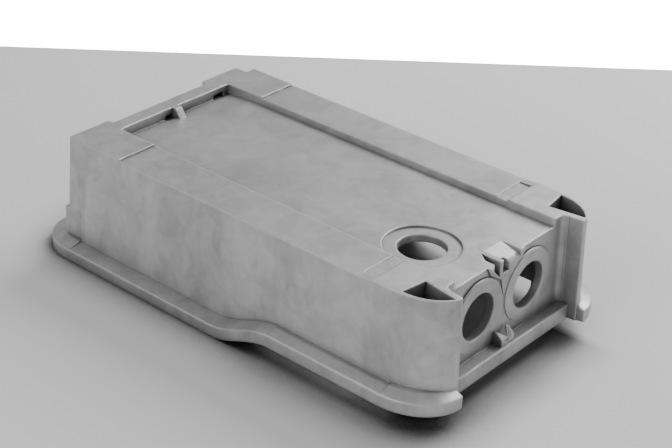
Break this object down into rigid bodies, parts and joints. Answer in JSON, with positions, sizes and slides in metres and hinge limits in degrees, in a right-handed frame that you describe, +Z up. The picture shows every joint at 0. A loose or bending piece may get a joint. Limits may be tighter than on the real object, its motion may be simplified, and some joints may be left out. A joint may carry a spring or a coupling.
{
  "type": "die cast housing",
  "caption": "Open-bottomed die cast aluminium housing with a sunk lid panel, hollow corner columns, round cable entries and a stepped foot flange.",
  "frame": {"origin": "centre of the footprint, in the plane the flange rests on", "axes": "+X toward the end with the two round holes, +Y across, +Z up"},
  "size_m": [0.3076, 0.174, 0.077],
  "materials": {
    "housing": "as-cast, satin"
  },
  "bodies": {
    "root": {"housing": "housing"}
  },
  "joints": []
}
